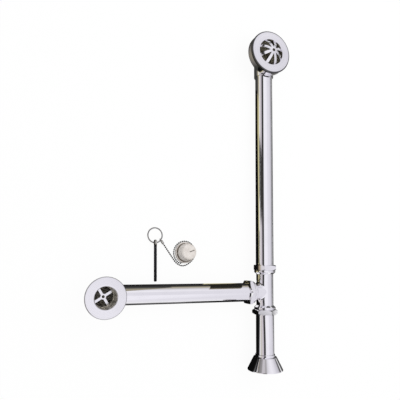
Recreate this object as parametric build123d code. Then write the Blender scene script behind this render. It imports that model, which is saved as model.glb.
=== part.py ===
"""Exposed waste and overflow for a free-standing bath, with its plug set lying beside it.

Millimetres. The set lies on its back, with both flanges facing up, and touches the floor with
the bell and with the backs of both elbows. The origin is the centre of the tail tube's outlet.
+Y runs along the overflow tube, -X along the waste tube, and +Z is the way the flanges face.
"""
import math
import os

from build123d import *

os.makedirs("parts", exist_ok=True)

# Tube, the same in all three arms
TUBE_OD = 38.1
TUBE_WALL = 0.9

# Layout of the tube axes
TEE_HEIGHT = 153.0       # tail outlet to the crossing of the axes
OVERFLOW_RISE = 528.5    # crossing to the centre of the overflow plate
WASTE_REACH = 347.0      # crossing to the centre of the waste flange

# Tee
NECK_STEP = 2.1          # the necks are slimmer than the tubes
BRANCH_STEP = 2.0
TEE_WALL = 2.0
TEE_FILLET = 7.0
ARM_UP = 37.5            # crossing to the start of each arm's flare
ARM_DOWN = 27.5
ARM_SIDE = 26.0
FLARE_LENGTH = 4.0
COLLAR_STEP = 1.3
COLLAR_LENGTH = 4.0
COLLAR_ROUND = 0.8
THREAD_WALL = 1.95
LEDGE_DEPTH = 0.8        # tube stop, below the start of the collar

# Slip joints
NUT_TURN = 0.0
TAIL_NUT_TURN = 30.0
NUT_WALL = 2.05
NUT_LENGTH = 11.0
NUT_LIP = 2.4
NUT_FACE_STEP = 1.1
NUT_CHAMFER_ANGLE = 30.0
WASHER_LENGTH = 2.6
WASHER_BEVEL = 0.8
FRICTION_RING_LENGTH = 1.0
NUT_TO_COLLAR = 0.4
THREAD_CLEARANCE = 0.25
NUT_TUBE_CLEARANCE = 0.35
SOCKET_CLEARANCE = 0.2
SEAL_CLEARANCE = 0.15
SEAT_GAP = 0.05
TUBE_PUSH_IN = 1.0       # tube end to the tee's ledge

# Overflow plate and head
PLATE_D = 96.5
PLATE_FACE = 34.0        # face above the tube's axis
PLATE_RIM = 4.4
PLATE_CROWN = 0.6
PLATE_ROUND = 2.0
PLATE_LIP = 1.0
PLATE_BORE = 58.0
SPIGOT_WALL = 2.5
SPIGOT_LENGTH = 3.5
GRILLE_DEPTH = 4.0       # spoke roots below the face
GRILLE_RISE = 10.5       # hub above the face
GRILLE_THICK = 3.0
SPOKE_COUNT = 8
SPOKE_WIDTH = 5.0        # at the hub
SPOKE_ROOT = 6.8         # at the bore
SPOKE_TURN = 22.5
HUB_WALL = 3.5
HUB_CLEARANCE = 0.3
OVERFLOW_GASKET = 3.0
GASKET_CLEARANCE = 0.6
HEAD_INSET = 0.8         # head's drum inside the plate's edge
HEAD_DRUM = 14.0
HEAD_DRUM_ROUND = 1.5
HEAD_LAP = 10.0          # drum beyond the wide end of the elbow
HEAD_WALL = 3.0
HEAD_SOCKET_END = 48.0
HEAD_SOCKET_DEPTH = 15.0
BOSS_WALL = 4.0
BOSS_SHORT = 4.0         # boss below the tube's axis
BOSS_FLOOR = 2.0

# Waste flange and shoe, whose elbow is like the overflow head's
FLANGE_D = 73.5
FLANGE_FACE = 50.0       # face above the tube's axis
FLANGE_THICK = 3.0
FLANGE_ROUND = 1.6
BORE_D = 39.0
BORE_LIP = 2.4
BORE_LEDGE = 1.4
THROAT_WALL = 4.0
CROSS_DEPTH = 28.0       # cross below the flange's face
CROSS_HEIGHT = 5.0
CROSS_ARM = 4.5
CROSS_TURN = 32.0
CROSS_HOLE_D = 5.4
CROSS_HUB_WALL = 2.3
THROAT_PAST_CROSS = 1.0
BATH_SHELL = 6.5         # room left for the bath's shell
WASTE_GASKET = 4.0
ELBOW_WALL = 2.4
SHOE_NECK_WALL = 3.6
SHOE_FLANGE_LAP = 4.7
SHOE_FLANGE = 5.0
SHOE_RELIEF = 4.0        # below the throat's end
SHOE_STOP = 0.8
SHOE_SOCKET_DEPTH = 9.0
FIT_CLEARANCE = 0.2      # threaded and soldered fits

# Floor escutcheon
BELL_RIM_D = 74.0
BELL_HEIGHT = 31.5
BELL_NECK = 4.0
BELL_NECK_WALL = 1.1
BELL_SHOULDER_STEP = 3.7
BELL_SHOULDER_DROP = 1.5
BELL_WALL = 1.0
BELL_EDGE = 1.2
BELL_PAST_OUTLET = 6.5
BELL_CLEARANCE = 0.45

# Plug set, placed on the floor from below the crossing of the axes
BOLT_D = 6.35
BOLT_LENGTH = 72.0
BOLT_TURN = -2.8
BOLT_TIP = 0.8
EYE_PLAY = 2.0           # ring's wire in the bolt's eye, each side
EYE_WIDTH = 3.0
EYE_THICK = 4.2
EYE_ROUND = 1.0
RING_X = -242.0
RING_Y = 114.4
RING_MEAN_D = 30.0
RING_WIRE = 2.4
RING_WIRE_FLATS = 8
LINK_ANGLE = -36.0       # where the chain's clasp hangs on the ring
LINK_PLAY = 0.5
LINK_WIDTH = 1.2
LINK_THICK = 1.4
CLASP_CLEARANCE = 0.4
CLASP_WALL = 0.35
CLASP_LENGTH = 7.0
BEAD_D = 3.2
BEAD_PITCH = 4.3
BEAD_LINK = 0.9
PLUG_X = -177.0
PLUG_Y = 80.5
PLUG_OVERLAP = 2.0       # plug's rim over the edge of the bore
PLUG_PLAY = 1.25
PLUG_TAPER = 2.75
PLUG_RIM = 5.0
PLUG_RIM_ROUND = 1.0
PLUG_HEIGHT = 25.0
PLUG_ROUND = 3.0
PLUG_FOOT = 4.5
PLUG_DISH = 5.0
PLUG_LEAN_WAY = 65.0
PLUG_SLOT_LENGTH = 11.0
PLUG_SLOT_WIDTH = 1.4
PLUG_SLOT_DEPTH = 1.2
PLUG_SLOT_TURN = 18.0
STEM_D = 3.0
STEM_LENGTH = 10.0
LIE_GAP = 0.1            # between pieces that lie on each other
PROP_GAP = 1.0           # chain to the rim that it props
WRAP_GAP = 0.4           # between the turns of the chain, and to the plug
CHAIN_CLOSES = (262.0, 300.0)
CHAIN_DIVES = 600.0      # turn at which the chain goes under the plug's rim
CHAIN_BEND = 7.0
CHAIN_LANDS = 25.0       # link on the ring to where the chain lies on the floor

# Worked out from the sizes above
TUBE_R = TUBE_OD / 2
TUBE_BORE_R = TUBE_R - TUBE_WALL
RUN_OD = TUBE_OD - NECK_STEP
BRANCH_OD = RUN_OD - BRANCH_STEP
THREAD_R = TUBE_R + SOCKET_CLEARANCE + THREAD_WALL
COLLAR_R = THREAD_R + COLLAR_STEP
NUT_FLAT_R = THREAD_R + THREAD_CLEARANCE + NUT_WALL
NUT_START = FLARE_LENGTH + COLLAR_LENGTH + NUT_TO_COLLAR
NUT_SEAT = NUT_START + NUT_LENGTH - NUT_LIP
MOUTH = NUT_SEAT - FRICTION_RING_LENGTH - WASHER_LENGTH - SEAT_GAP
LEDGE = FLARE_LENGTH - LEDGE_DEPTH
TUBE_START = LEDGE + TUBE_PUSH_IN
PLATE_UNDER = PLATE_FACE - PLATE_RIM
PLATE_BORE_R = PLATE_BORE / 2
SPIGOT_R = PLATE_BORE_R + SPIGOT_WALL
HUB_HOLE_R = BOLT_D / 2 + HUB_CLEARANCE
ELBOW_R = TUBE_R + FIT_CLEARANCE + ELBOW_WALL
HEAD_TOP = PLATE_UNDER - OVERFLOW_GASKET
HEAD_R = PLATE_D / 2 - HEAD_INSET
HEAD_UNDER = HEAD_TOP - HEAD_DRUM
HEAD_SOCKET_LEDGE = HEAD_SOCKET_END - HEAD_SOCKET_DEPTH
BORE_R = BORE_D / 2
THREADED_R = BORE_R + THROAT_WALL
FLANGE_UNDER = FLANGE_FACE - FLANGE_THICK
CROSS_TOP = FLANGE_FACE - CROSS_DEPTH
THROAT_END = CROSS_TOP - CROSS_HEIGHT - THROAT_PAST_CROSS
SHOE_TOP = FLANGE_UNDER - BATH_SHELL - WASTE_GASKET
SHOE_THREAD_R = THREADED_R + FIT_CLEARANCE
SHOE_NECK_R = SHOE_THREAD_R + SHOE_NECK_WALL
SHOE_NECK_END = THROAT_END - SHOE_RELIEF
SHOE_FLANGE_R = SHOE_NECK_R + SHOE_FLANGE_LAP
SHOE_SOCKET_LEDGE = SHOE_THREAD_R + SHOE_STOP
SHOE_SOCKET_END = SHOE_SOCKET_LEDGE + SHOE_SOCKET_DEPTH
EYE_HOLE_R = RING_WIRE / 2 + EYE_PLAY
EYE_R = EYE_HOLE_R + EYE_WIDTH
BOLT_REACH = EYE_HOLE_R + EYE_WIDTH / 2 + BOLT_LENGTH
LINK_HOLE_R = RING_WIRE / 2 + LINK_PLAY
LINK_MEAN_R = LINK_HOLE_R + LINK_WIDTH / 2
LINK_R = LINK_HOLE_R + LINK_WIDTH
CLASP_HOLE_R = BEAD_D / 2 + CLASP_CLEARANCE
CLASP_R = CLASP_HOLE_R + CLASP_WALL
CLASP_BEAD = LINK_MEAN_R + CLASP_LENGTH / 2
PLUG_R = BORE_R + PLUG_OVERLAP
PLUG_TAPER_R = BORE_R - PLUG_PLAY
PLUG_DISH_R = PLUG_R - PLUG_FOOT
PLUG_EYE = PLUG_DISH - LINK_R - LIE_GAP
CHAIN_R = PLUG_R + BEAD_D / 2 + WRAP_GAP
CHAIN_OUTER_R = CHAIN_R + BEAD_D + WRAP_GAP

# The three arms of the tee, with +Z of each arm's own frame pointing away from the crossing
CROSSING = Pos(0, TEE_HEIGHT, 0)
UP = CROSSING * Rot(-90, 0, 0)
DOWN = CROSSING * Rot(90, 0, 0)
SIDE = CROSSING * Rot(0, -90, 0)
OVERFLOW_CENTRE = CROSSING * Pos(0, OVERFLOW_RISE, 0)
WASTE_CENTRE = CROSSING * Pos(-WASTE_REACH, 0, 0)

# The floor, which the bell's rim and the two elbows touch, and the point of it below the crossing
FLOOR_RISE = (BELL_RIM_D / 2 - ELBOW_R) / (BELL_PAST_OUTLET + TEE_HEIGHT + OVERFLOW_RISE)
FLOOR_Z = -BELL_RIM_D / 2 + FLOOR_RISE * (BELL_PAST_OUTLET + TEE_HEIGHT)
FLOOR_FALL = (-ELBOW_R - FLOOR_Z) / -WASTE_REACH
FLOOR = Plane(
    origin=(0, TEE_HEIGHT, FLOOR_Z),
    x_dir=(1, 0, FLOOR_FALL),
    z_dir=(-FLOOR_FALL, -FLOOR_RISE, 1),
).location


def turned(*corners):
    """Solid of revolution about Z. A corner is (radius, height) or (radius, height, rounding)."""
    points = [corner[:2] for corner in corners]
    rounds = [corner[2] if len(corner) > 2 else 0 for corner in corners]
    outline = FilletPolyline(*points, radius=rounds, close=True)
    return revolve(Plane.XZ * make_face(outline), Axis.Z)


def tube(start, end, outer_r, inner_r):
    return turned((inner_r, start), (outer_r, start), (outer_r, end), (inner_r, end))


def rod(start, end, radius):
    return turned((0, start), (radius, start), (radius, end), (0, end))


def neck(length, diameter):
    return rod(0, length, diameter / 2)


def socket_outside(arm, diameter):
    """Flare, collar and threaded mouth at the end of one arm."""
    flare_end = arm + FLARE_LENGTH
    collar_end = flare_end + COLLAR_LENGTH
    return turned(
        (0, 0),
        (diameter / 2, 0),
        (diameter / 2, arm, COLLAR_ROUND),
        (COLLAR_R, flare_end, COLLAR_ROUND),
        (COLLAR_R, collar_end, COLLAR_ROUND),
        (THREAD_R, collar_end),
        (THREAD_R, arm + MOUTH),
        (0, arm + MOUTH),
    )


def socket_bore(arm, diameter):
    water_r = diameter / 2 - TEE_WALL
    socket_r = TUBE_R + SOCKET_CLEARANCE
    return turned(
        (0, 0),
        (water_r, 0),
        (water_r, arm + LEDGE),
        (socket_r, arm + LEDGE),
        (socket_r, arm + MOUTH),
        (0, arm + MOUTH),
    )


def make_tee():
    body = UP * neck(ARM_UP, RUN_OD) + DOWN * neck(ARM_DOWN, RUN_OD)
    body = body + SIDE * neck(ARM_SIDE, BRANCH_OD)
    crotch = body.edges().filter_by(GeomType.BSPLINE)
    body = fillet(crotch, TEE_FILLET)
    arms = ((UP, ARM_UP, RUN_OD), (DOWN, ARM_DOWN, RUN_OD), (SIDE, ARM_SIDE, BRANCH_OD))
    for place, arm, diameter in arms:
        body += place * socket_outside(arm, diameter)
    for place, arm, diameter in arms:
        body -= place * socket_bore(arm, diameter)
    return body


def make_slip_nut(turn):
    """Hexagon nut from its open end at 0, with a lip that closes on the tube."""
    corner_r = NUT_FLAT_R / math.cos(math.pi / 6)
    face_r = NUT_FLAT_R - NUT_FACE_STEP
    rise = (corner_r - face_r) * math.tan(math.radians(NUT_CHAMFER_ANGLE))
    hexagon = RegularPolygon(corner_r, 6, rotation=turn)
    cone = turned(
        (0, 0),
        (face_r, 0),
        (corner_r, rise),
        (corner_r, NUT_LENGTH - rise),
        (face_r, NUT_LENGTH),
        (0, NUT_LENGTH),
    )
    nut = extrude(hexagon, NUT_LENGTH) & cone
    nut -= rod(0, NUT_LENGTH - NUT_LIP, THREAD_R + THREAD_CLEARANCE)
    nut -= rod(0, NUT_LENGTH, TUBE_R + NUT_TUBE_CLEARANCE)
    return nut


def make_slip_washer():
    inner_r = TUBE_R + SEAL_CLEARANCE
    return turned(
        (inner_r, 0),
        (THREAD_R - WASHER_BEVEL, 0),
        (THREAD_R, WASHER_BEVEL),
        (THREAD_R, WASHER_LENGTH),
        (inner_r, WASHER_LENGTH),
    )


def make_friction_ring():
    return tube(0, FRICTION_RING_LENGTH, THREAD_R, TUBE_R + SEAL_CLEARANCE)


def slip_joint(name, place, arm, turn):
    """Nut, washer and friction ring of one arm, named for the tube that they hold."""
    washer_start = NUT_SEAT - FRICTION_RING_LENGTH - WASHER_LENGTH
    return {
        f"{name}_slip_nut": place * Pos(0, 0, arm + NUT_START) * make_slip_nut(turn),
        f"{name}_slip_washer": place * Pos(0, 0, arm + washer_start) * make_slip_washer(),
        f"{name}_friction_ring":
            place * Pos(0, 0, arm + washer_start + WASHER_LENGTH) * make_friction_ring(),
    }


def arm_tube(place, arm, end):
    return place * tube(arm + TUBE_START, end, TUBE_R, TUBE_BORE_R)


def grille_dome(radius, top):
    """Spherical cap, cut at the grille's roots, from its sphere's radius and its top."""
    return Pos(0, 0, top - radius) * Sphere(radius)


def make_faceplate():
    spigot_end = PLATE_UNDER - SPIGOT_LENGTH
    plate = turned(
        (PLATE_BORE_R, spigot_end),
        (SPIGOT_R, spigot_end),
        (SPIGOT_R, PLATE_UNDER),
        (PLATE_D / 2, PLATE_UNDER),
        (PLATE_D / 2, PLATE_FACE - PLATE_CROWN, PLATE_ROUND),
        (PLATE_BORE_R, PLATE_FACE, PLATE_LIP),
    )
    rise = GRILLE_DEPTH + GRILLE_RISE
    dome_r = (PLATE_BORE_R ** 2 + rise ** 2) / (2 * rise)
    top = PLATE_FACE + GRILLE_RISE
    dome = grille_dome(dome_r, top) - grille_dome(dome_r - GRILLE_THICK, top - GRILLE_THICK)
    dome = dome & rod(spigot_end, top, PLATE_BORE_R + SPIGOT_WALL / 2)
    windows = Circle(PLATE_BORE_R) - Circle(HUB_HOLE_R + HUB_WALL)
    spoke = make_face(
        Polyline(
            (0, SPOKE_WIDTH / 2),
            (PLATE_BORE_R, SPOKE_ROOT / 2),
            (PLATE_BORE_R, -SPOKE_ROOT / 2),
            (0, -SPOKE_WIDTH / 2),
            close=True,
        )
    )
    for place in range(SPOKE_COUNT):
        windows -= Rot(0, 0, SPOKE_TURN + place * 360 / SPOKE_COUNT) * spoke
    openings = extrude(windows, top) + rod(0, top, HUB_HOLE_R)
    return plate + (dome - openings)


def make_overflow_gasket():
    return tube(HEAD_TOP, PLATE_UNDER, HEAD_R, SPIGOT_R + GASKET_CLEARANCE)


def elbow(towards_tube, radius, end):
    """Ball at the turn, with a round arm to the tube."""
    return Sphere(radius) + towards_tube * rod(0, end, radius)


def make_overflow_head():
    towards_tube = Rot(90, 0, 0)
    bolt_r = BOLT_D / 2 + FIT_CLEARANCE
    drum_r = HEAD_R - HEAD_WALL
    drum_floor = HEAD_UNDER + HEAD_WALL
    boss_floor = BOSS_FLOOR - TUBE_BORE_R
    outside = elbow(towards_tube, ELBOW_R, HEAD_SOCKET_END) + turned(
        (0, 0),
        (ELBOW_R, 0),
        (HEAD_R - HEAD_LAP, HEAD_UNDER),
        (HEAD_R, HEAD_UNDER, HEAD_DRUM_ROUND),
        (HEAD_R, HEAD_TOP),
        (0, HEAD_TOP),
    )
    inside = elbow(towards_tube, TUBE_BORE_R, HEAD_SOCKET_END) + turned(
        (0, 0),
        (TUBE_BORE_R, 0),
        (drum_r - HEAD_LAP, drum_floor),
        (drum_r, drum_floor),
        (drum_r, HEAD_TOP),
        (0, HEAD_TOP),
    )
    inside -= rod(-ELBOW_R, -BOSS_SHORT, bolt_r + BOSS_WALL)
    inside += rod(boss_floor, 0, bolt_r)
    inside += towards_tube * rod(HEAD_SOCKET_LEDGE, HEAD_SOCKET_END, TUBE_R + FIT_CLEARANCE)
    return outside - inside


def make_waste_flange():
    lower_r = BORE_R - BORE_LEDGE
    flange = turned(
        (lower_r, THROAT_END),
        (THREADED_R, THROAT_END),
        (THREADED_R, FLANGE_UNDER),
        (FLANGE_D / 2, FLANGE_UNDER),
        (FLANGE_D / 2, FLANGE_FACE, FLANGE_ROUND),
        (BORE_R, FLANGE_FACE, BORE_LIP),
        (BORE_R, CROSS_TOP),
        (lower_r, CROSS_TOP),
    )
    cross = Circle(CROSS_HOLE_D / 2 + CROSS_HUB_WALL)
    for turn in (CROSS_TURN, CROSS_TURN + 90):
        cross += Rot(0, 0, turn) * Rectangle(2 * BORE_R, CROSS_ARM)
    cross -= Circle(CROSS_HOLE_D / 2)
    return flange + Pos(0, 0, CROSS_TOP - CROSS_HEIGHT) * extrude(cross, CROSS_HEIGHT)


def make_waste_gasket():
    return tube(SHOE_TOP, SHOE_TOP + WASTE_GASKET, SHOE_FLANGE_R, THREADED_R + GASKET_CLEARANCE)


def make_waste_shoe():
    towards_tube = Rot(0, 90, 0)
    flange_under = SHOE_TOP - SHOE_FLANGE
    outside = elbow(towards_tube, ELBOW_R, SHOE_SOCKET_END) + turned(
        (0, 0),
        (ELBOW_R, 0),
        (SHOE_NECK_R, SHOE_NECK_END),
        (SHOE_NECK_R, flange_under),
        (SHOE_FLANGE_R, flange_under),
        (SHOE_FLANGE_R, SHOE_TOP),
        (0, SHOE_TOP),
    )
    inside = elbow(towards_tube, TUBE_BORE_R, SHOE_SOCKET_END) + turned(
        (0, 0),
        (TUBE_BORE_R, 0),
        (SHOE_THREAD_R, SHOE_NECK_END),
        (SHOE_THREAD_R, SHOE_TOP),
        (0, SHOE_TOP),
    )
    inside += towards_tube * rod(SHOE_SOCKET_LEDGE, SHOE_SOCKET_END, TUBE_R + FIT_CLEARANCE)
    return outside - inside


def make_escutcheon():
    """Bell from its rim at 0 to the top of its neck."""
    bore_r = TUBE_R + BELL_CLEARANCE
    neck_r = bore_r + BELL_NECK_WALL
    neck_start = BELL_HEIGHT - BELL_NECK
    shoulder_r = neck_r + BELL_SHOULDER_STEP
    shoulder = neck_start - BELL_SHOULDER_DROP
    rim_r = BELL_RIM_D / 2
    return turned(
        (rim_r - BELL_WALL, 0),
        (rim_r, 0),
        (rim_r, BELL_EDGE),
        (shoulder_r, shoulder, BELL_WALL),
        (neck_r, neck_start),
        (neck_r, BELL_HEIGHT, BELL_NECK_WALL / 2),
        (bore_r, BELL_HEIGHT),
        (bore_r, neck_start - BELL_WALL),
        (shoulder_r - BELL_WALL, shoulder - BELL_WALL),
        (rim_r - BELL_WALL, BELL_EDGE),
    )


def make_eye_bolt():
    """Eye in the YZ plane about the origin, with its shank along -Y."""
    eye = tube(-EYE_THICK / 2, EYE_THICK / 2, EYE_R, EYE_HOLE_R)
    eye = fillet(eye.edges().filter_by(GeomType.CIRCLE), EYE_ROUND)
    shank = rod(BOLT_REACH - BOLT_LENGTH, BOLT_REACH, BOLT_D / 2)
    tip = shank.edges().filter_by(GeomType.CIRCLE).sort_by(Axis.Z)[-1]
    shank = chamfer(tip, BOLT_TIP)
    return Rot(0, 90, 0) * eye + Rot(90, 0, 0) * shank - Rot(0, 90, 0) * rod(
        -BOLT_D, BOLT_D, EYE_HOLE_R
    )


def ring_lift():
    """Height of the ring's wire in the bolt's eye above its wire on the floor."""
    return EYE_WIDTH + LIE_GAP


def ring_tilt():
    return math.degrees(math.asin(ring_lift() / RING_MEAN_D))


def ring_place():
    """The ring lies on the floor at one side, and in the bolt's eye at the other."""
    height = (RING_WIRE + ring_lift()) / 2
    return Pos(RING_X, RING_Y, height) * Rot(-ring_tilt(), 0, 0)


def make_pull_ring():
    wire = RegularPolygon(RING_WIRE / 2, RING_WIRE_FLATS, rotation=180 / RING_WIRE_FLATS)
    return revolve(Plane.XZ * Pos(RING_MEAN_D / 2, 0) * wire, Axis.Z)


def bolt_place():
    """The bolt's eye stands on the floor round the ring's wire, and its tip lies on the floor."""
    slope = math.degrees(math.asin((EYE_R - BOLT_D / 2) / BOLT_REACH))
    eye_y = RING_Y - RING_MEAN_D / 2 * math.cos(math.radians(ring_tilt()))
    return Pos(RING_X, eye_y, EYE_R) * Rot(0, 0, -BOLT_TURN) * Rot(slope, 0, 0)


def make_link():
    """Flat stamped link about the origin in the XZ plane."""
    return Rot(90, 0, 0) * tube(-LINK_THICK / 2, LINK_THICK / 2, LINK_R, LINK_HOLE_R)


def make_clasp():
    """Link with a barrel along +X, which closes round the chain's end."""
    barrel_end = LINK_MEAN_R + CLASP_LENGTH
    barrel = rod(LINK_MEAN_R, barrel_end, CLASP_R) - rod(LINK_R, barrel_end, CLASP_HOLE_R)
    hole = Rot(90, 0, 0) * rod(-CLASP_R, CLASP_R, LINK_HOLE_R)
    return make_link() + (Rot(0, 90, 0) * barrel - hole)


def clasp_place(link_centre, chain_end, through):
    """Frame of a clasp that points at the chain's end and lets `through` pass its link."""
    along = (chain_end - link_centre).normalized()
    across = (through - along * through.dot(along)).normalized()
    return Plane(origin=link_centre, x_dir=along, z_dir=along.cross(across)).location


def plug_place():
    """The plug leans, because the chain runs under one side of its rim."""
    lean = math.degrees(math.asin((BEAD_D + PROP_GAP) / (2 * PLUG_R)))
    stand = Pos(PLUG_X, PLUG_Y, 0) * Rot(0, 0, PLUG_LEAN_WAY)
    tip_over = Pos(PLUG_R, 0, 0) * Rot(0, lean, 0) * Pos(-PLUG_R, 0, 0)
    return stand * tip_over * Rot(0, 0, -PLUG_LEAN_WAY)


def make_plug():
    plug = turned(
        (0, PLUG_DISH),
        (PLUG_DISH_R - PLUG_DISH, PLUG_DISH),
        (PLUG_DISH_R, 0),
        (PLUG_R, 0),
        (PLUG_R, PLUG_RIM, PLUG_RIM_ROUND),
        (PLUG_TAPER_R, PLUG_RIM),
        (PLUG_TAPER_R - PLUG_TAPER, PLUG_HEIGHT, PLUG_ROUND),
        (0, PLUG_HEIGHT),
    )
    slot = Box(PLUG_SLOT_LENGTH, PLUG_SLOT_WIDTH, 2 * PLUG_SLOT_DEPTH)
    plug -= Rot(0, 0, PLUG_SLOT_TURN) * Pos(PLUG_SLOT_LENGTH / 2, 0, PLUG_HEIGHT) * slot
    return plug - rod(PLUG_DISH, PLUG_DISH + STEM_LENGTH, STEM_D / 2)


def make_plug_eye():
    """Stem pressed into the plug, with a flat eye below it in the dish."""
    stem = rod(PLUG_EYE + LINK_MEAN_R, PLUG_DISH + STEM_LENGTH, STEM_D / 2)
    return Pos(0, 0, PLUG_EYE) * make_link() + stem


def heading(degrees):
    return Vector(math.cos(math.radians(degrees)), math.sin(math.radians(degrees)), 0)


def ring_link():
    """Centre of the clasp's link, which hangs on the ring's wire."""
    wire = (ring_place() * Pos(heading(LINK_ANGLE) * (RING_MEAN_D / 2))).position
    return wire - Vector(0, 0, LINK_PLAY - LIE_GAP)


def chain_bend_turn():
    """Turn of the chain's last bend, after which the chain points at the plug's middle."""
    return 180 - math.degrees(math.acos(CHAIN_BEND / (CHAIN_R - CHAIN_BEND)))


def plug_link():
    """Centre of the clasp's link in the plug's eye, on the side that the chain comes from."""
    bend = heading(CHAIN_DIVES) * (CHAIN_R - CHAIN_BEND)
    bend_end = bend + heading(CHAIN_DIVES + chain_bend_turn()) * CHAIN_BEND
    eye = (plug_place() * Pos(0, 0, PLUG_EYE)).position
    return eye + bend_end.normalized() * LINK_MEAN_R, bend_end.normalized()


def wrap_radius(turn):
    """The chain arrives outside its own wrap, then closes on the plug's rim."""
    closing = (turn - CHAIN_CLOSES[0]) / (CHAIN_CLOSES[1] - CHAIN_CLOSES[0])
    return CHAIN_OUTER_R + (CHAIN_R - CHAIN_OUTER_R) * min(max(closing, 0), 1)


def chain_route():
    """Points of the chain: down from the ring, round the plug, and under its rim to its eye."""
    centre = Vector(PLUG_X, PLUG_Y, BEAD_D / 2)
    link = ring_link()
    level_link = Vector(link.X, link.Y, centre.Z)
    back = level_link - centre
    arrives = math.degrees(math.atan2(back.Y, back.X) + math.acos(CHAIN_OUTER_R / back.length))
    wrap = []
    for turn in range(round(arrives), round(CHAIN_DIVES)):
        wrap.append(centre + heading(turn) * wrap_radius(turn))
    bend_centre = centre + heading(CHAIN_DIVES) * (CHAIN_R - CHAIN_BEND)
    bend = []
    for turn in range(0, round(chain_bend_turn()), 4):
        bend.append(bend_centre + heading(CHAIN_DIVES + turn) * CHAIN_BEND)
    landing = level_link + (wrap[0] - level_link).normalized() * CHAIN_LANDS
    first = link + (landing - link).normalized() * CLASP_BEAD
    last_link = plug_link()[0]
    last = last_link + (bend[-1] - last_link).normalized() * CLASP_BEAD
    return [first, landing] + wrap + bend + [last]


def bead_centres():
    """Middles of the beads, evenly spaced along the chain's route from end to end."""
    route = chain_route()
    runs = [(there - here).length for here, there in zip(route, route[1:])]
    pitch = sum(runs) / round(sum(runs) / BEAD_PITCH)
    centres = [route[0]]
    travelled = 0.0
    for here, there, run in zip(route, route[1:], runs):
        while len(centres) * pitch < travelled + run:
            centres.append(here + (there - here) * ((len(centres) * pitch - travelled) / run))
        travelled += run
    return centres + [route[-1]]


def make_bead():
    """Ball drawn with few faces, with the wire that leads to the next ball along X."""
    ball = Box(BEAD_D, BEAD_D, BEAD_D)
    ball = chamfer(ball.edges(), BEAD_D * (1 - math.sqrt(0.5)))
    next_ball = BEAD_PITCH - BEAD_D / 2 / math.cos(math.pi / 8)
    wire_length = next_ball - LIE_GAP - BEAD_D / 2
    wire = Pos(BEAD_D / 2 + wire_length / 2, 0, 0) * Box(wire_length, BEAD_LINK, BEAD_LINK)
    return ball, ball + wire


def make_chain():
    last_bead, bead = make_bead()
    centres = bead_centres()
    beads = []
    for here, there in zip(centres, centres[1:]):
        turn = math.degrees(math.atan2(there.Y - here.Y, there.X - here.X))
        beads.append(Pos(here) * Rot(0, 0, turn) * bead)
    beads.append(Pos(centres[-1]) * Rot(0, 0, turn) * last_bead)
    return Compound(children=beads)


def make_plug_set():
    """The plug set as it lies on a level floor."""
    centres = bead_centres()
    plug_link_centre, towards_chain = plug_link()
    plug_turn = math.degrees(math.atan2(towards_chain.Y, towards_chain.X))
    ring_tangent = heading(LINK_ANGLE + 90)
    return {
        "eye_bolt": bolt_place() * make_eye_bolt(),
        "pull_ring": ring_place() * make_pull_ring(),
        "ring_coupling": clasp_place(ring_link(), centres[0], ring_tangent) * make_clasp(),
        "bead_chain": make_chain(),
        "plug_coupling": clasp_place(plug_link_centre, centres[-1], Vector(0, 0, 1)) * make_clasp(),
        "plug": plug_place() * make_plug(),
        "plug_eye": plug_place() * Rot(0, 0, plug_turn) * make_plug_eye(),
    }


def make_parts():
    shoe_end = WASTE_REACH - SHOE_SOCKET_LEDGE - FIT_CLEARANCE
    head_end = OVERFLOW_RISE - HEAD_SOCKET_LEDGE - FIT_CLEARANCE
    parts = {
        "overflow_faceplate": OVERFLOW_CENTRE * make_faceplate(),
        "overflow_gasket": OVERFLOW_CENTRE * make_overflow_gasket(),
        "overflow_head": OVERFLOW_CENTRE * make_overflow_head(),
        "overflow_tube": arm_tube(UP, ARM_UP, head_end),
        "tee": make_tee(),
        "waste_tube": arm_tube(SIDE, ARM_SIDE, shoe_end),
        "waste_shoe": WASTE_CENTRE * make_waste_shoe(),
        "waste_gasket": WASTE_CENTRE * make_waste_gasket(),
        "waste_flange": WASTE_CENTRE * make_waste_flange(),
        "tail_tube": arm_tube(DOWN, ARM_DOWN, TEE_HEIGHT),
        "floor_escutcheon": Pos(0, -BELL_PAST_OUTLET, 0) * Rot(-90, 0, 0) * make_escutcheon(),
    }
    parts |= slip_joint("overflow", UP, ARM_UP, NUT_TURN)
    parts |= slip_joint("waste", SIDE, ARM_SIDE, NUT_TURN)
    parts |= slip_joint("tail", DOWN, ARM_DOWN, TAIL_NUT_TURN)
    for node, shape in make_plug_set().items():
        parts[node] = FLOOR * shape
    return parts


for node, shape in make_parts().items():
    export_step(shape, f"parts/{node}.step")
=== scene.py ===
"""Looks of an exposed bath waste and overflow: polished chrome, a cream rubber plug and its ball chain."""

import math

import bmesh
import bpy
from mathutils import Matrix, Vector


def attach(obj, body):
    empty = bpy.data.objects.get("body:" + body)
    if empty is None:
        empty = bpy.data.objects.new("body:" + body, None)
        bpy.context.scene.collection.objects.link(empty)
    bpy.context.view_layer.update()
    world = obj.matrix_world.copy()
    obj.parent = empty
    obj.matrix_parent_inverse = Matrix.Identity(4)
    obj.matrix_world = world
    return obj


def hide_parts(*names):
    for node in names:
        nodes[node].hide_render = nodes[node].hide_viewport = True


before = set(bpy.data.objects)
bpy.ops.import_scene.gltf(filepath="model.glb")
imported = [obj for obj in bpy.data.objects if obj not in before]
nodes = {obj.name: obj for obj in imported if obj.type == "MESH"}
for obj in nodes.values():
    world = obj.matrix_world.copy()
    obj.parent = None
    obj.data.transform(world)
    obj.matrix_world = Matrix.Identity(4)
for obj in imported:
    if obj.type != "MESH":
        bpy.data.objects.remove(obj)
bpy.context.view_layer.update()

# Places, in metres
CROSSING = Vector((0.0, 0.153, 0.0))
OVERFLOW_CENTRE = Vector((0.0, 0.6815, 0.0))
WASTE_CENTRE = Vector((-0.347, 0.153, 0.0))
FLOOR_BELOW_CROSSING = -0.0334414
FLOOR_RISE = 0.022311       # along +Y
FLOOR_FALL = -0.033981      # along +X

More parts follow.
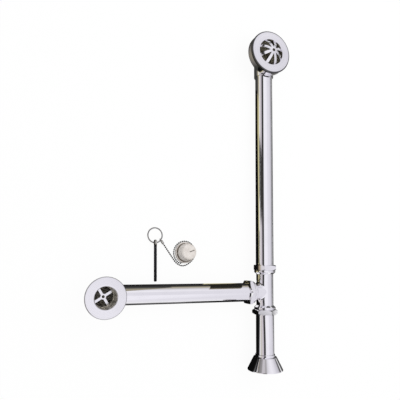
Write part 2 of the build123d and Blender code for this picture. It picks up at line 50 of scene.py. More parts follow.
# Bores and hollows, where the plating ends
TUBE_BORE_R = 0.01815
RUN_BORE_R = 0.016
BRANCH_BORE_R = 0.015
BRANCH_FROM = -0.016
DRUM_R = 0.04445
DRUM_FLOOR = 0.0156
DRUM_CONE = 1.045           # widening of the bowl below the drum, per height
NECK_R = 0.0237
NECK_FLOOR = 0.012
PLUG_BORE_R = 0.0195
BELOW_CROSS_R = 0.0181
PLUG_BORE_TOP = 0.0474
SKIN = 0.0003               # play of a mask at a wall
SEAM = 1e-7                 # gap that the spun pieces close over

# Painted shade at the rims of the turned faces
FLANGE_RIM_R = 0.03675
PLATE_RIM_R = 0.0467
RIM_FROM = 0.0018           # inwards of the rim's radius, where it begins to darken
RIM_FULL = 0.0004           # and where it is dark
FLANGE_RIM_SHADE = 0.42
PLATE_RIM_SHADE = 0.12

# Bead chain and pull ring
BEAD_R = 0.0016
BEAD_ROUND = 12
BEAD_HIGH = 8
CHAIN_WIRE_R = 0.0005
CHAIN_WIRE_SIDES = 6
CHAIN_BREAK = 4 * BEAD_R    # beads further apart than this aren't neighbours
SAME_POINT = 1e-6
CROWN = 1e-5                # height of the patch that marks the top of a bead
RING_MIDDLE = Vector((-0.242, 0.1144, 0.00275))
RING_TILT = math.asin(0.0031 / 0.030)
RING_MEAN_R = 0.015
RING_WIRE_R = 0.0012
RING_STEPS = 64
WIRE_SIDES = 12

# Eye bolt
BOLT_R = 0.003175
BOLT_NECK_R = 0.92 * BOLT_R
BOLT_ROOT_R = 0.0026
BOLT_TIP_R = 0.0023
BOLT_PITCH = 0.00127
BOLT_FROM = 0.0038          # from the middle of the eye
BOLT_NECK_END = 0.0095
BOLT_THREAD_FROM = 0.0105
BOLT_THREAD_TO = 0.0757
BOLT_REACH = 0.0767
BOLT_TURN = math.radians(2.8)
BOLT_STEPS = 24
EYE_HOLE_R = 0.0032
EYE_R = 0.0062
EYE_HALF = 0.0021
EYE_STEPS = 40

# Thread of the waste's throat, seen under its flange
THROAT_R = 0.0235
THROAT_CREST = 0.0003
THROAT_PITCH = 0.0013
THROAT_FROM = 0.0408
THROAT_TO = 0.0469
THROAT_STEPS = 96
CREST_FROM = 0.42           # flat top of a thread, in shares of its pitch
CREST_TO = 0.58

# Plug. In a pair, the mark begins at the first value and is full at the second
PLUG_FOOT = Vector((-0.177, 0.0805, 0.0))
PLUG_R = 0.0215
PLUG_TOP = 0.025
PLUG_LIFT = 0.0042          # of the edge that lies on the chain
PLUG_LEAN_WAY = math.radians(65.0)
SLIT_TURN = math.radians(18.0)
SLIT_DEPTH = (PLUG_TOP - 0.0016, PLUG_TOP - 0.0008)
SLIT_HALF = (0.0012, 0.0007)
SLIT_START = (-0.0003, 0.0002)
SLIT_END = (0.0116, 0.0110)
STOPPER_R = (0.0206, 0.0190)
STOPPER_FOOT = (0.0040, 0.0046)
STOPPER_SIDE = (0.0105, 0.0060)

# Colours, linear
CHROME = (0.90, 0.89, 0.92)
BARE_BRASS = (0.42, 0.385, 0.28)
GREY_BRASS = (0.74, 0.70, 0.62)
NICKEL = (0.74, 0.72, 0.68)
DULL_NICKEL = (0.15, 0.143, 0.13)
RING_NICKEL = (0.40, 0.39, 0.38)
# painted dark reflection on the bolt's shank
BOLT_REFLECTION_BLACK = (0.022, 0.022, 0.026)
CREAM_RUBBER = (0.76, 0.715, 0.68)
CREAM_SHADE = (0.60, 0.55, 0.51)
# painted shade in the plug's slit and in the crease round its stopper's foot
SLIT_SHADE_BROWN = (0.10, 0.08, 0.065)
FOOT_SHADE_BROWN = (0.15, 0.12, 0.095)
BLACK_RUBBER = (0.018, 0.018, 0.019)
WHITE_NYLON = (0.80, 0.80, 0.77)
WHITE = (1.0, 1.0, 1.0)
FLOOR_PAPER = (0.92, 0.92, 0.92)
INK = (0.004, 0.004, 0.004)
DARK_PANEL = (0.045, 0.042, 0.040)
FAR_EDGE = (0.11, 0.11, 0.10)
NEAR_EDGE = (0.86, 0.85, 0.89)

# Floor and papers of the studio
FLOOR_SIZE = 24.0
FLOOR_BELOW = -0.0006       # below the lowest point of the object
CARD_STEP = 0.0002          # between layers of paper on the floor
FLOOR_WHITE = 0.94          # share of white in what the camera and the chrome see of the floor

# Room that the chrome reflects: degrees to the left of straight up, and the colour there
ROOM_TONES = (
    (-100, (0.10, 0.10, 0.10)),
    (-80, (0.12, 0.12, 0.12)),
    (-71, (0.58, 0.57, 0.61)),
    (-50, (0.72, 0.71, 0.76)),
    (-32, (0.81, 0.80, 0.85)),
    (-16, (0.80, 0.79, 0.84)),
    (-5, (0.93, 0.92, 0.97)),
    (32, (0.95, 0.94, 0.98)),
    (41, (0.03, 0.03, 0.028)),
    (57, (0.03, 0.03, 0.028)),
    (65, (0.62, 0.58, 0.63)),
    (80, (0.64, 0.60, 0.60)),
    (98, (0.60, 0.57, 0.50)),
)
BELL_TONES = (
    (-100, (0.10, 0.10, 0.10)),
    (-86, (0.62, 0.61, 0.64)),
    (-50, (0.78, 0.77, 0.81)),
    (-18, (0.93, 0.92, 0.96)),
    (0, (0.84, 0.83, 0.87)),
    (14, (0.70, 0.69, 0.72)),
    (25, (0.36, 0.35, 0.35)),
    (36, (0.58, 0.56, 0.58)),
    (52, (0.60, 0.58, 0.60)),
    (60, (0.32, 0.31, 0.31)),
    (76, (0.26, 0.25, 0.25)),
    (92, (0.012, 0.012, 0.012)),
)
TONES_SPAN = math.radians(200.0)

# Where the room changes along +Y or -Y, as a share of a ray's length, and how it turns there
TAIL_END = (0.06, 0.22)
TAIL_TURN = math.radians(16.0)
BELL_FROM = (0.46, 0.52)
BELL_TO = (0.76, 0.70)
FAR_END = (0.89, 0.98)
NEAR_END = (0.78, 0.90)
PANEL_FROM = (0.07, 0.10)
PANEL_TO = (0.28, 0.24)
PANEL_WAVER = 0.10
PANEL_RIGHT = (math.radians(53.0), math.radians(57.0))
PANEL_LEFT = (math.radians(99.0), math.radians(92.0))
ROOM_LIGHT = 0.85

# Lamp and camera
LAMP_WIDE = 1.6
LAMP_HIGH = 1.2
LAMP_WATTS = 9.0
LAMP_PLACE = Vector((0.5, 0.7, 1.5))
LAMP_AIM = Vector((-0.15, 0.3, 0.0))
SENSOR_MM = 36.0
LENS_MM = 38.113
CAMERA_PLACE = Vector((-0.48569, 0.22900, 0.80102))
CAMERA_RIGHT = Vector((0.922908, 0.014048, 0.384765))
CAMERA_UP = Vector((-0.062521, 0.991539, 0.113764))


class Value:
    """A socket in a node tree. Arithmetic on it adds Math nodes."""

    def __init__(self, shade, socket):
        self.shade = shade
        self.socket = socket

    def out(self, name):
        """Another output of the same node."""
        return Value(self.shade, self.socket.node.outputs[name])

    def __add__(self, other):
        return self.shade.maths("ADD", self, other)

    __radd__ = __add__

    def __sub__(self, other):
        return self.shade.maths("SUBTRACT", self, other)

    def __rsub__(self, other):
        return self.shade.maths("SUBTRACT", other, self)

    def __mul__(self, other):
        return self.shade.maths("MULTIPLY", self, other)

    __rmul__ = __mul__

    def __truediv__(self, other):
        return self.shade.maths("DIVIDE", self, other)

    def __rtruediv__(self, other):
        return self.shade.maths("DIVIDE", other, self)

    def __neg__(self):
        return self.shade.maths("MULTIPLY", self, -1.0)

    def root(self):
        return self.shade.maths("SQRT", self)

    def step(self, low, high):
        """0 below low, 1 above high, smooth between them. The other way round if high < low."""
        sockets = {"Value": self, "From Min": low, "From Max": high}
        return self.shade.node("ShaderNodeMapRange", {"interpolation_type": "SMOOTHSTEP"}, sockets)

    def between(self, rise, fall):
        """1 between two steps, 0 on both sides."""
        return self.step(*rise) * self.step(*fall)


class Shade:
    """A node tree that is being filled."""

    def __init__(self, tree):
        tree.nodes.clear()
        self.tree = tree

    def node(self, kind, settings=None, sockets=None):
        made = self.tree.nodes.new(kind)
        for name, setting in (settings or {}).items():
            if name == "stops":
                self.fill_ramp(made.color_ramp.elements, setting)
            else:
                setattr(made, name, setting)
        for name, given in (sockets or {}).items():
            if isinstance(given, Value):
                self.tree.links.new(given.socket, made.inputs[name])
            else:
                made.inputs[name].default_value = given
        shown = next((out for out in made.outputs if out.enabled), None)
        return Value(self, shown)

    def fill_ramp(self, elements, stops):
        while len(elements) < len(stops):
            elements.new(1.0)
        for element, (place, colour) in zip(elements, stops):
            element.position = place
            element.color = rgba(colour)

    def maths(self, operation, *operands):
        return self.node("ShaderNodeMath", {"operation": operation}, dict(enumerate(operands)))

    def mix(self, factor, first, second):
        """Colour between two colours."""
        sockets = {0: factor, 6: rgba(first), 7: rgba(second)}
        return self.node("ShaderNodeMix", {"data_type": "RGBA"}, sockets)

    def ramp(self, factor, stops):
        return self.node("ShaderNodeValToRGB", {"stops": stops}, {0: factor})

    def place(self, centre=(0, 0, 0), scale=(1, 1, 1)):
        """Object coordinates measured from a centre."""
        points = self.node("ShaderNodeTexCoord").out("Object")
        back = [-c * s for c, s in zip(centre, scale)]
        return self.node("ShaderNodeMapping", {}, {"Vector": points, "Location": back, "Scale": scale})

    def measured_in(self, place):
        """Object coordinates in another frame."""
        back = place.inverted()
        points = self.node("ShaderNodeTexCoord").out("Object")
        sockets = {"Vector": points, "Location": back.translation, "Rotation": back.to_euler()}
        return self.node("ShaderNodeMapping", {}, sockets)

    def axes(self, vector):
        parts = self.node("ShaderNodeSeparateXYZ", {}, {0: vector})
        return parts.out("X"), parts.out("Y"), parts.out("Z")

    def noise(self, vector, scale, detail, roughness):
        sockets = {"Vector": vector, "Scale": scale, "Detail": detail, "Roughness": roughness}
        return self.node("ShaderNodeTexNoise", {}, sockets)

    def bump(self, height, strength, distance):
        sockets = {"Height": height, "Strength": strength, "Distance": distance}
        return self.node("ShaderNodeBump", {}, sockets)

    def surface(self, **inputs):
        """Principled surface on the tree's output. Underscores in the names stand for spaces."""
        sockets = {}
        for name, given in inputs.items():
            sockets[name.replace("_", " ")] = rgba(given) if name == "Base_Color" else given
        self.finish(self.node("ShaderNodeBsdfPrincipled", {}, sockets))

    def glow(self, colour):
        return self.node("ShaderNodeEmission", {}, {"Color": rgba(colour), "Strength": 1.0})

    def backdrop(self, colour, strength=1.0):
        return self.node("ShaderNodeBackground", {}, {"Color": rgba(colour), "Strength": strength})

    def blend(self, factor, first, second):
        """Shader between two shaders."""
        return self.node("ShaderNodeMixShader", {}, {0: factor, 1: first, 2: second})

    def finish(self, shader, output="ShaderNodeOutputMaterial"):
        self.node(output, {}, {"Surface": shader})


def rgba(colour):
    return colour if isinstance(colour, Value) else (*colour, 1.0)


def dimmed(colour, share):
    return [part * share for part in colour]


def new_finish(name):
    material = bpy.data.materials.new(name)
    material.use_nodes = True
    return material, Shade(material.node_tree)


# Masks

def from_axis(shade, centre, along):
    """Distance from an axis through the centre, and place along it."""
    parts = list(shade.axes(shade.place(centre)))
    reach = parts.pop("XYZ".index(along))
    return (parts[0] * parts[0] + parts[1] * parts[1]).root(), reach


def within(distance, limit):
    """1 up to a limit and a skin's thickness, 0 beyond it."""
    return distance.step(limit + 2 * SKIN, limit + SKIN)


def beyond(distance, limit):
    """1 from a skin's thickness before a limit, 0 before that."""
    return distance.step(limit - 2 * SKIN, limit - SKIN)


def either(first, *others):
    for other in others:
        first = first.shade.maths("MAXIMUM", first, other)
    return first


def inside_tube(along):
    """Mask of a tube's bore."""
    def mask(shade):
        radius, _ = from_axis(shade, CROSSING, along)
        return within(radius, TUBE_BORE_R)
    return mask


def inside_tee(shade):
    run, _ = from_axis(shade, CROSSING, "Y")
    branch, reach = from_axis(shade, CROSSING, "X")
    return either(within(run, RUN_BORE_R), within(branch, BRANCH_BORE_R) * within(reach, BRANCH_FROM))


def inside_elbow(shade, centre, arm, way):
    """Within the ball of an elbow and its arm, which runs one way along an axis."""
    radius, reach = from_axis(shade, centre, arm)
    ball = (radius * radius + reach * reach).root()
    return either(within(ball, TUBE_BORE_R), within(radius, TUBE_BORE_R) * beyond(reach * way, 0.0))


def inside_head(shade):
    radius, height = from_axis(shade, OVERFLOW_CENTRE, "Z")
    drum = within(radius, DRUM_R) * beyond(height, DRUM_FLOOR)
    cone = within(radius - height * DRUM_CONE, TUBE_BORE_R) * beyond(height, 0.0)
    return either(drum, cone, inside_elbow(shade, OVERFLOW_CENTRE, "Y", -1.0))


def inside_shoe(shade):
    radius, height = from_axis(shade, WASTE_CENTRE, "Z")
    neck = within(radius, NECK_R) * beyond(height, NECK_FLOOR)
    drop = within(radius, TUBE_BORE_R) * beyond(height, 0.0)
    return either(neck, drop, inside_elbow(shade, WASTE_CENTRE, "X", 1.0))


def inside_plug_bore(shade):
    """The wall of the waste's bore and its ledge, but not the cross."""
    radius, height = from_axis(shade, WASTE_CENTRE, "Z")
    return within(radius, PLUG_BORE_R) * beyond(radius, BELOW_CROSS_R) * within(height, PLUG_BORE_TOP)


# Finishes

def turned_face(shade, tone, rough, centre, rim, rim_shade):
    """Adds a lathe's rings and painted shade at the rim to tone and roughness, and gives the rings' normal.
    """
    radius, _ = from_axis(shade, centre, "Z")
    rings = shade.noise(radius, scale=2600.0, detail=2.0, roughness=0.7)
    bands = shade.noise(radius, scale=420.0, detail=2.0, roughness=0.6).step(0.42, 0.68)
    tone = shade.mix(bands * 0.5, tone, dimmed(CHROME, 0.84))
    # painted shade: the face darkens towards its rim
    edge = radius.step(rim - RIM_FROM, rim - RIM_FULL)
    tone = shade.mix(edge, tone, dimmed(CHROME, rim_shade))
    return tone, rough + rings * 0.10, shade.bump(rings, strength=0.12, distance=0.0002)


def bare_hollow(shade, tone, rough, hollow, metal_within):
    """Adds streaked bare metal in a hollow to tone and roughness, and gives how metallic it is."""
    bare = hollow(shade)
    streaks = shade.noise(shade.place(scale=(1.0, 1.0, 0.12)), scale=260.0, detail=5.0, roughness=0.65)
    brass = shade.mix(streaks.step(0.36, 0.66), metal_within, dimmed(metal_within, 0.36))
    tone = shade.mix(bare, tone, brass)
    return tone, rough + bare * (0.30 + streaks * 0.2), 1.0 - bare * 0.6


def chrome(name, along="Z", hollow=None, metal_within=BARE_BRASS, turned=None):
    """Polished plate, with marks drawn along an axis and smudges. Turned gives a face's centre, its rim and
    the painted shade there.
    """
    material, shade = new_finish(name)
    stretch = [0.02 if axis == along else 1.0 for axis in "XYZ"]
    drawn = shade.noise(shade.place(scale=stretch), scale=900.0, detail=4.0, roughness=0.6)
    smudge = shade.noise(shade.place(), scale=38.0, detail=4.0, roughness=0.55).step(0.45, 0.75)
    rough = 0.045 + drawn * 0.03 + smudge * 0.05
    tone = shade.mix(smudge * 0.5, CHROME, dimmed(CHROME, 0.95))
    metal = 1.0
    inputs = {}
    if turned is not None:
        tone, rough, inputs["Normal"] = turned_face(shade, tone, rough, *turned)
    if hollow is not None:
        tone, rough, metal = bare_hollow(shade, tone, rough, hollow, metal_within)
    shade.surface(Base_Color=tone, Metallic=metal, Roughness=rough, **inputs)
    return material


def nickel(name, colour):
    material, shade = new_finish(name)
    grain = shade.noise(shade.place(), scale=900.0, detail=3.0, roughness=0.6)
    tone = shade.mix(grain, colour, dimmed(colour, 0.72))
    shade.surface(Base_Color=tone, Metallic=1.0, Roughness=0.14 + grain * 0.16)
    return material


def shank_reflection_black(name):
    """The bolt's shank, near-black as a painted dark reflection, worn to grey in specks."""
    material, shade = new_finish(name)
    grain = shade.noise(shade.place(), scale=1400.0, detail=4.0, roughness=0.6)
    worn = grain.step(0.62, 0.78)
    tone = shade.mix(worn * 0.4, BOLT_REFLECTION_BLACK, dimmed(NICKEL, 0.3))
    shade.surface(Base_Color=tone, Metallic=0.85, Roughness=0.34 + grain * 0.2)
    return material


def cream_rubber(name):
    """Clouded cream, with painted shade in the slit in the plug's top and in the crease round the stopper's
    foot.
    """
    material, shade = new_finish(name)
    x, y, z = shade.axes(shade.measured_in(plug_place()))
    slit = (y * y).root().step(*SLIT_HALF) * x.between(SLIT_START, SLIT_END) * z.step(*SLIT_DEPTH)
    foot = (x * x + y * y).root().step(*STOPPER_R) * z.between(STOPPER_FOOT, STOPPER_SIDE)
    cloud = shade.noise(shade.place(), scale=60.0, detail=4.0, roughness=0.6)
    speck = shade.noise(shade.place(), scale=900.0, detail=2.0, roughness=0.5).step(0.70, 0.76)
    tone = shade.mix(cloud.step(0.35, 0.75), CREAM_RUBBER, CREAM_SHADE)
    tone = shade.mix(speck * 0.35, tone, dimmed(CREAM_SHADE, 0.45))
    # painted shade in the crease round the stopper's foot
    tone = shade.mix(foot * cloud.step(0.20, 0.50), tone, FOOT_SHADE_BROWN)
    # painted shade in the slit
    tone = shade.mix(slit, tone, SLIT_SHADE_BROWN)
    skin = shade.noise(shade.place(), scale=1500.0, detail=3.0, roughness=0.55)
    pores = shade.bump(skin, strength=0.18, distance=0.0004)
    shade.surface(Base_Color=tone, Roughness=0.42 + cloud * 0.18, Normal=pores)
    return material


def moulded(name, colour, rough):
    """Black rubber or white nylon."""
    material, shade = new_finish(name)
    grain = shade.noise(shade.place(), scale=700.0, detail=4.0, roughness=0.6)
    tone = shade.mix(grain, colour, dimmed(colour, 0.8))
    skin = shade.bump(grain, strength=0.2, distance=0.0003)
    shade.surface(Base_Color=tone, Roughness=rough + grain * 0.15, Normal=skin)
    return material


def paint(material, *names):
    for name in names:
        for slot in nodes[name].material_slots:
            slot.material = material


# Places of the floor and of the plug on it

def floor_place():
    """Frame of the floor, from its point below the crossing."""
    across = Vector((1, 0, FLOOR_FALL)).normalized()
    up = Vector((-FLOOR_FALL, -FLOOR_RISE, 1)).normalized()
    place = Matrix((across, up.cross(across), up)).transposed().to_4x4()
    place.translation = CROSSING + Vector((0, 0, FLOOR_BELOW_CROSSING))
    return place


def plug_place():
    """Frame of the plug, turned to the slit in its top."""
    lean = math.asin(PLUG_LIFT / (2 * PLUG_R))
    stand = Matrix.Translation(PLUG_FOOT) @ Matrix.Rotation(PLUG_LEAN_WAY, 4, "Z")
    tip_over = Matrix.Translation((PLUG_R, 0, 0)) @ Matrix.Rotation(lean, 4, "Y")
    place = floor_place() @ stand @ tip_over @ Matrix.Translation((-PLUG_R, 0, 0))
    return place @ Matrix.Rotation(SLIT_TURN - PLUG_LEAN_WAY, 4, "Z")


# Pieces

def keep(name, mesh, material, body, slot, *replaced):
    """Makes a finished mesh a piece of the object."""
    data = bpy.data.meshes.new(name)
    mesh.to_mesh(data)
    mesh.free()
    data.shade_smooth()
    piece = bpy.data.objects.new(name, data)
    bpy.context.scene.collection.objects.link(piece)
    data.materials.append(material)
    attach(piece, body)
    if replaced:
        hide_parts(*replaced)
    return piece


def spun(mesh, outline, steps, closed=False):
    """Turns an outline of (radius, height) about Z, and returns the vertices."""
    before = set(mesh.verts)
    corners = [mesh.verts.new((radius, 0, height)) for radius, height in outline]
    pairs = list(zip(corners, corners[1:]))
    if closed:
        pairs.append((corners[-1], corners[0]))
    edges = [mesh.edges.new(pair) for pair in pairs]
    bmesh.ops.spin(
        mesh, geom=corners + edges, cent=(0, 0, 0), axis=(0, 0, 1),
        angle=math.tau, steps=steps, use_merge=True,
    )
    made = [vert for vert in mesh.verts if vert not in before]
    bmesh.ops.remove_doubles(mesh, verts=made, dist=SEAM)
    bmesh.ops.recalc_face_normals(mesh, faces=mesh.faces)
    return [vert for vert in mesh.verts if vert not in before]


def ridges(start, end, pitch, root, crest):
    """Outline of a thread from start to end."""
    outline = []
    for turn in range(int((end - start) / pitch)):
        foot = start + turn * pitch
        outline.append((root, foot))
        outline.append((crest, foot + pitch * CREST_FROM))
        outline.append((crest, foot + pitch * CREST_TO))
    outline.append((root, end))
    return outline


def oval(radius, half_wide, half_high):
    """Closed section of a wire ring."""
    turns = [math.tau * corner / WIRE_SIDES for corner in range(WIRE_SIDES)]
    return [(radius + half_wide * math.cos(t), half_high * math.sin(t)) for t in turns]


def bead_middles():
    """Middles of the chain's beads, read from the chain's solids in their order."""
    place = floor_place()
    mesh = bmesh.new()
    mesh.from_mesh(nodes["bead_chain"].data)
    mesh.transform(place.inverted())
    bmesh.ops.remove_doubles(mesh, verts=mesh.verts, dist=SAME_POINT)
    seen = set()
    middles = []
    for start in mesh.verts:
        if start in seen:
            continue
        bead = [start]
        seen.add(start)
        for vert in bead:
            for edge in vert.link_edges:
                other = edge.other_vert(vert)
                if other not in seen:
                    seen.add(other)
                    bead.append(other)
        top = max(vert.co.z for vert in bead)
        crown = [vert.co for vert in bead if vert.co.z > top - CROWN]
        middle = sum(crown, Vector()) / len(crown)
        middles.append(place @ Vector((middle.x, middle.y, top - BEAD_R)))
    mesh.free()
    return middles


def make_bead_chain(material):
    mesh = bmesh.new()
    middles = bead_middles()
    for middle in middles:
        bmesh.ops.create_uvsphere(
            mesh, u_segments=BEAD_ROUND, v_segments=BEAD_HIGH, radius=BEAD_R,
            matrix=Matrix.Translation(middle),
        )
    for here, there in zip(middles, middles[1:]):
        along = there - here
        if along.length > CHAIN_BREAK:
            continue
        turn = along.to_track_quat("Z", "Y").to_matrix().to_4x4()
        bmesh.ops.create_cone(
            mesh, segments=CHAIN_WIRE_SIDES, radius1=CHAIN_WIRE_R, radius2=CHAIN_WIRE_R,
            depth=along.length - BEAD_R, matrix=Matrix.Translation((here + there) / 2) @ turn,
        )
    keep("bead_chain_balls", mesh, material, "tee", "plated_steel", "bead_chain")


def make_pull_ring(material):
    mesh = bmesh.new()
    spun(mesh, oval(RING_MEAN_R, RING_WIRE_R, RING_WIRE_R), RING_STEPS, closed=True)
    mesh.transform(floor_place() @ Matrix.Translation(RING_MIDDLE) @ Matrix.Rotation(-RING_TILT, 4, "X"))
    keep("pull_ring_wire", mesh, material, "tee", "plated_steel", "pull_ring")


def make_eye_bolt(shank_finish, eye_finish):
    """Threaded shank along -Y and a round eye at its head, lying on the floor."""
    mesh = bmesh.new()
    outline = [(0, BOLT_FROM), (BOLT_NECK_R, BOLT_FROM), (BOLT_NECK_R, BOLT_NECK_END)]
    outline += ridges(BOLT_THREAD_FROM, BOLT_THREAD_TO, BOLT_PITCH, BOLT_ROOT_R, BOLT_R)
    outline += [(BOLT_TIP_R, BOLT_REACH), (0, BOLT_REACH)]
    shank = spun(mesh, outline, BOLT_STEPS)
    bmesh.ops.transform(mesh, matrix=Matrix.Rotation(math.pi / 2, 4, "X"), verts=shank)
    shank_faces = set(mesh.faces)

    wire = oval((EYE_HOLE_R + EYE_R) / 2, (EYE_R - EYE_HOLE_R) / 2, EYE_HALF)
    loop = spun(mesh, wire, EYE_STEPS, closed=True)
    bmesh.ops.transform(mesh, matrix=Matrix.Rotation(math.pi / 2, 4, "Y"), verts=loop)
    for face in mesh.faces:
        face.material_index = 0 if face in shank_faces else 1

    eye = Vector((RING_MIDDLE.x, RING_MIDDLE.y - RING_MEAN_R * math.cos(RING_TILT), EYE_R))
    slope = math.asin((EYE_R - BOLT_R) / BOLT_REACH)
    lie = Matrix.Rotation(BOLT_TURN, 4, "Z") @ Matrix.Rotation(slope, 4, "X")
    mesh.transform(floor_place() @ Matrix.Translation(eye) @ lie)
    piece = keep("eye_bolt_threaded", mesh, shank_finish, "tee", "plated_steel", "eye_bolt")
    piece.data.materials.append(eye_finish)


def make_throat_thread(material):
    mesh = bmesh.new()
    thread = ridges(THROAT_FROM, THROAT_TO, THROAT_PITCH, THROAT_R - SKIN, THROAT_R + THROAT_CREST)
    spun(mesh, thread, THROAT_STEPS)
    mesh.transform(Matrix.Translation(WASTE_CENTRE))
    keep("throat_thread", mesh, material, "waste_arm", "chrome")


def dress():
    """Gives each node its finish and adds the finer pieces."""
    arms = ("overflow", "waste", "tail")
    paint(chrome("chrome_upright", "Y", inside_tube("Y")), "overflow_tube", "tail_tube")
    paint(chrome("chrome_tee", "Z", inside_tee), "tee")
    paint(chrome("chrome_across", "X", inside_tube("X")), "waste_tube")
    paint(chrome("chrome_fitting"), *[f"{arm}_slip_nut" for arm in arms])
    paint(chrome("chrome_bell", "Y"), "floor_escutcheon")
    paint(chrome("chrome_head", "Z", inside_head), "overflow_head")
    paint(chrome("chrome_shoe", "Z", inside_shoe, GREY_BRASS), "waste_shoe")
    flange_face = (WASTE_CENTRE, FLANGE_RIM_R, FLANGE_RIM_SHADE)
    flange = chrome("chrome_flange", "Z", inside_plug_bore, GREY_BRASS, flange_face)
    paint(flange, "waste_flange")
    plate_face = (OVERFLOW_CENTRE, PLATE_RIM_R, PLATE_RIM_SHADE)
    paint(chrome("chrome_plate", turned=plate_face), "overflow_faceplate")
    bright = nickel("nickel_plate", NICKEL)
    paint(bright, "ring_coupling", "plug_coupling", "plug_eye")
    paint(cream_rubber("cream_rubber"), "plug")
    paint(moulded("black_rubber", BLACK_RUBBER, 0.55), "overflow_gasket", "waste_gasket")
    paint(moulded("washer_rubber", BLACK_RUBBER, 0.6), *[f"{arm}_slip_washer" for arm in arms])
    paint(moulded("white_nylon", WHITE_NYLON, 0.4), *[f"{arm}_friction_ring" for arm in arms])
    make_bead_chain(nickel("nickel_beads", DULL_NICKEL))
    make_pull_ring(nickel("nickel_ring", RING_NICKEL))
    make_eye_bolt(shank_reflection_black("bolt_reflection_black"), bright)
    make_throat_thread(flange)


# Studio

def stage_card(name, middle, wide, high, turn=Matrix()):
    """Flat rectangle, placed from the floor's point below the crossing."""
    mesh = bmesh.new()
    bmesh.ops.create_grid(mesh, x_segments=1, y_segments=1, size=0.5)
    bmesh.ops.scale(mesh, vec=(wide, high, 1), verts=mesh.verts)
    mesh.transform(floor_place() @ Matrix.Translation(middle) @ turn)
    data = bpy.data.meshes.new(name)
    mesh.to_mesh(data)
    mesh.free()
    card = bpy.data.objects.new(name, data)
    bpy.context.scene.collection.objects.link(card)
    return card


def lay_floor():
    """White to the camera and in reflections, with the soft shadow of the object."""
    floor = stage_card("floor", (0, 0, FLOOR_BELOW), FLOOR_SIZE, FLOOR_SIZE)
    material, shade = new_finish("floor_white")
    path = shade.node("ShaderNodeLightPath")
    seen = either(path.out("Is Camera Ray"), path.out("Is Glossy Ray"), path.out("Is Transmission Ray"))
    paper = shade.node("ShaderNodeBsdfDiffuse", {}, {"Color": rgba(FLOOR_PAPER)})
    shade.finish(shade.blend(seen * FLOOR_WHITE, paper, shade.glow(WHITE)))
    floor.data.materials.append(material)


def shade_card(card, along, shades):
    """Paper that shows only in the chrome. Its (place, colour) pairs follow an axis of the frame."""
    material, shade = new_finish(card.name)
    reach = shade.axes(shade.place())["XYZ".index(along)]
    first = shades[0][0]
    length = shades[-1][0] - first
    stops = [((at - first) / length, colour) for at, colour in shades]
    shade.finish(shade.glow(shade.ramp((reach - first) / length, stops)))
    card.data.materials.append(material)
    card.visible_camera = False
    card.visible_diffuse = False
    card.visible_shadow = False
    card.visible_transmission = False


def all_over(colour):
    return ((0.0, colour), (1.0, colour))


def lay_card(name, low, high, layer, shades, along="X", turn=0.0):
    """Paper on the floor between two corners, turned by some degrees about its middle."""
    middle = ((low[0] + high[0]) / 2, (low[1] + high[1]) / 2, FLOOR_BELOW + layer * CARD_STEP)
    lie = Matrix.Rotation(math.radians(turn), 4, "Z")
    card = stage_card(name, middle, high[0] - low[0], high[1] - low[1], lie)
    shade_card(card, along, shades)


def stand_card(name, middle, wide, high, shades, turn=0.0, lean=0.0):
    """Paper that stands on the floor, turned about the upright and leant in its own plane, in degrees."""
    upright = Matrix.Rotation(math.radians(turn), 4, "Z") @ Matrix.Rotation(math.pi / 2, 4, "X")
    stand = upright @ Matrix.Rotation(math.radians(lean), 4, "Z")
    card = stage_card(name, (*middle, high / 2), wide, high, stand)
    shade_card(card, "Z", shades)


def lay_beside_tubes():
    """Papers on the floor to the left and right of the upright tubes."""
    lay_card("left_of_upright", (-0.32, 0.022), (0.012, 0.60), layer=1, shades=(
        (-0.32, (0.64, 0.60, 0.57)),
        (-0.20, (0.72, 0.68, 0.48)),
        (-0.123, (0.70, 0.65, 0.36)),
        (-0.061, (0.42, 0.37, 0.20)),
        (-0.046, INK),
        (0.012, INK),
    ))
    lay_card("beside_upright", (-0.080, 0.052), (0.010, 0.352), layer=3, shades=all_over(INK), turn=-9.5)
    lay_card("beside_panel", (-1.01, 0.293), (-0.19, 0.477), layer=2, shades=all_over(DARK_PANEL), turn=-11.5)
    lay_card("left_of_tail", (-0.40, -0.21), (0.012, -0.022), layer=1, shades=(
        (-0.40, (0.66, 0.65, 0.66)),
        (-0.24, (0.44, 0.43, 0.42)),
        (-0.17, (0.16, 0.155, 0.15)),
        (-0.135, (0.05, 0.048, 0.045)),
        (-0.11, (0.012, 0.012, 0.011)),
        (-0.09, INK),
        (0.012, INK),
    ))
    lay_card("right_of_upright", (0.010, -0.21), (0.45, 0.70), layer=1, shades=(
        (0.010, INK),
        (0.06, (0.09, 0.09, 0.09)),
        (0.45, (0.12, 0.12, 0.12)),
    ))


def lay_round_fittings():
    """Papers on the floor round the head, the flange and the chain, and below the waste tube."""
    lay_card("round_head", (-0.14, 0.458), (0.12, 0.67), layer=2, shades=(
        (-0.14, (0.40, 0.38, 0.34)),
        (-0.09, (0.36, 0.32, 0.23)),
        (-0.068, (0.17, 0.16, 0.15)),
        (-0.052, (0.05, 0.05, 0.045)),
        (-0.02, (0.05, 0.05, 0.045)),
        (0.03, (0.12, 0.12, 0.11)),
        (0.12, (0.45, 0.44, 0.43)),
    ))
    lay_card("round_flange", (-0.43, -0.070), (-0.315, 0.055), layer=2, shades=(
        (-0.43, (0.38, 0.37, 0.36)),
        (-0.315, (0.28, 0.27, 0.26)),
    ))
    lay_card("round_chain", (-0.275, 0.050), (-0.140, 0.140), layer=2, shades=all_over(INK))
    lay_card("below_waste", (-0.31, -0.20), (-0.13, 0.046), layer=2, along="Y", shades=(
        (-0.047, (0.66, 0.65, 0.68)),
        (0.020, (0.36, 0.35, 0.36)),
        (0.060, (0.14, 0.14, 0.14)),
        (0.094, (0.05, 0.05, 0.05)),
        (0.120, INK),
        (0.199, INK),
    ))
    lay_card("below_branch", (-0.13, -0.022), (-0.03, 0.022), layer=2, shades=all_over(INK))


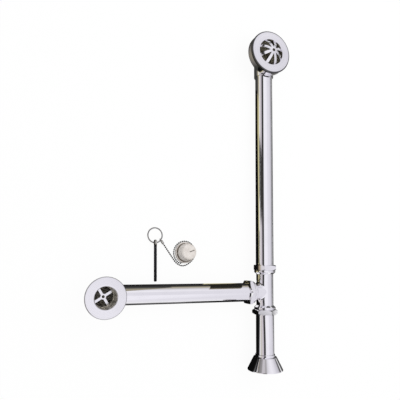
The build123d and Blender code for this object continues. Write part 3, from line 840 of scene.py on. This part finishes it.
def stand_behind_waste():
    """Standing papers on the far side of the waste tube, and one beside the upper nut."""
    stand_card("behind_flange", (-0.2675, 0.0455), wide=0.110, high=0.060, lean=-18.0, shades=(
        (-0.034, (0.02, 0.02, 0.02)),
        (0.006, (0.03, 0.03, 0.03)),
        (0.018, (0.10, 0.10, 0.09)),
        (0.026, (0.34, 0.31, 0.23)),
    ))
    stand_card("behind_waste", (-0.1725, 0.046), wide=0.285, high=0.060, shades=(
        (-0.034, (0.02, 0.02, 0.02)),
        (0.003, (0.03, 0.03, 0.03)),
        (0.009, (0.11, 0.10, 0.08)),
        (0.015, (0.40, 0.36, 0.26)),
        (0.026, (0.56, 0.54, 0.50)),
    ))
    stand_card("behind_branch", (-0.085, 0.044), wide=0.075, high=0.074, shades=(
        (-0.034, (0.012, 0.012, 0.010)),
        (0.028, (0.022, 0.021, 0.016)),
        (0.040, (0.26, 0.23, 0.17)),
    ))
    stand_card("left_of_nut", (-0.042, 0.0513), wide=0.0135, high=0.062, turn=90.0, shades=(
        (-0.034, INK),
        (0.009, INK),
        (0.0125, (0.42, 0.33, 0.22)),
        (0.017, (0.72, 0.70, 0.72)),
        (0.028, (0.72, 0.70, 0.72)),
    ))


def room_tones(shade, left, tones):
    """Colour of the room by the angle to the left of straight up."""
    stops = [(0.5 + math.radians(degrees) / TONES_SPAN, colour) for degrees, colour in tones]
    return shade.ramp(left / TONES_SPAN + 0.5, stops)


def reflected_room(shade):
    """White room with dark edges and a dark panel."""
    way = shade.node("ShaderNodeTexCoord").out("Generated")
    x, y, z = shade.axes(way)
    left = shade.maths("ARCTAN2", -x, z) + (-y).step(*TAIL_END) * TAIL_TURN
    bell_side = y.between(BELL_FROM, BELL_TO)
    tone = shade.mix(bell_side, room_tones(shade, left, ROOM_TONES), room_tones(shade, left, BELL_TONES))
    tone = shade.mix(y.step(*FAR_END), tone, FAR_EDGE)
    tone = shade.mix((-y).step(*NEAR_END), tone, NEAR_EDGE)
    waver = shade.noise(way, scale=7.0, detail=2.0, roughness=0.5) - 0.5
    along = y + waver * PANEL_WAVER
    panel = along.between(PANEL_FROM, PANEL_TO) * left.between(PANEL_RIGHT, PANEL_LEFT)
    return shade.mix(panel, tone, DARK_PANEL)


def light_room():
    """Plain white light, a room that only the chrome reflects, and one soft lamp."""
    world = bpy.data.worlds.new("room")
    bpy.context.scene.world = world
    world.use_nodes = True
    shade = Shade(world.node_tree)
    path = shade.node("ShaderNodeLightPath")
    lit = shade.backdrop(WHITE, ROOM_LIGHT)
    shown = shade.blend(path.out("Is Camera Ray"), lit, shade.backdrop(WHITE))
    room = shade.blend(path.out("Is Glossy Ray"), shown, shade.backdrop(reflected_room(shade)))
    shade.finish(room, "ShaderNodeOutputWorld")

    lamp = bpy.data.lights.new("soft_box", "AREA")
    lamp.shape = "RECTANGLE"
    lamp.size = LAMP_WIDE
    lamp.size_y = LAMP_HIGH
    lamp.energy = LAMP_WATTS
    soft_box = bpy.data.objects.new("soft_box", lamp)
    bpy.context.scene.collection.objects.link(soft_box)
    soft_box.location = LAMP_PLACE
    soft_box.rotation_euler = (LAMP_AIM - LAMP_PLACE).to_track_quat("-Z", "Y").to_euler()
    soft_box.visible_glossy = False
    soft_box.visible_camera = False


def set_camera():
    lens = bpy.data.cameras.new("camera")
    lens.sensor_width = SENSOR_MM
    lens.lens = LENS_MM
    camera = bpy.data.objects.new("camera", lens)
    bpy.context.scene.collection.objects.link(camera)
    stand = Matrix((CAMERA_RIGHT, CAMERA_UP, CAMERA_RIGHT.cross(CAMERA_UP))).transposed().to_4x4()
    stand.translation = CAMERA_PLACE
    camera.matrix_world = stand
    bpy.context.scene.camera = camera


dress()
lay_floor()
lay_beside_tubes()
lay_round_fittings()
stand_behind_waste()
light_room()
set_camera()
bpy.context.scene.view_settings.view_transform = "Standard"
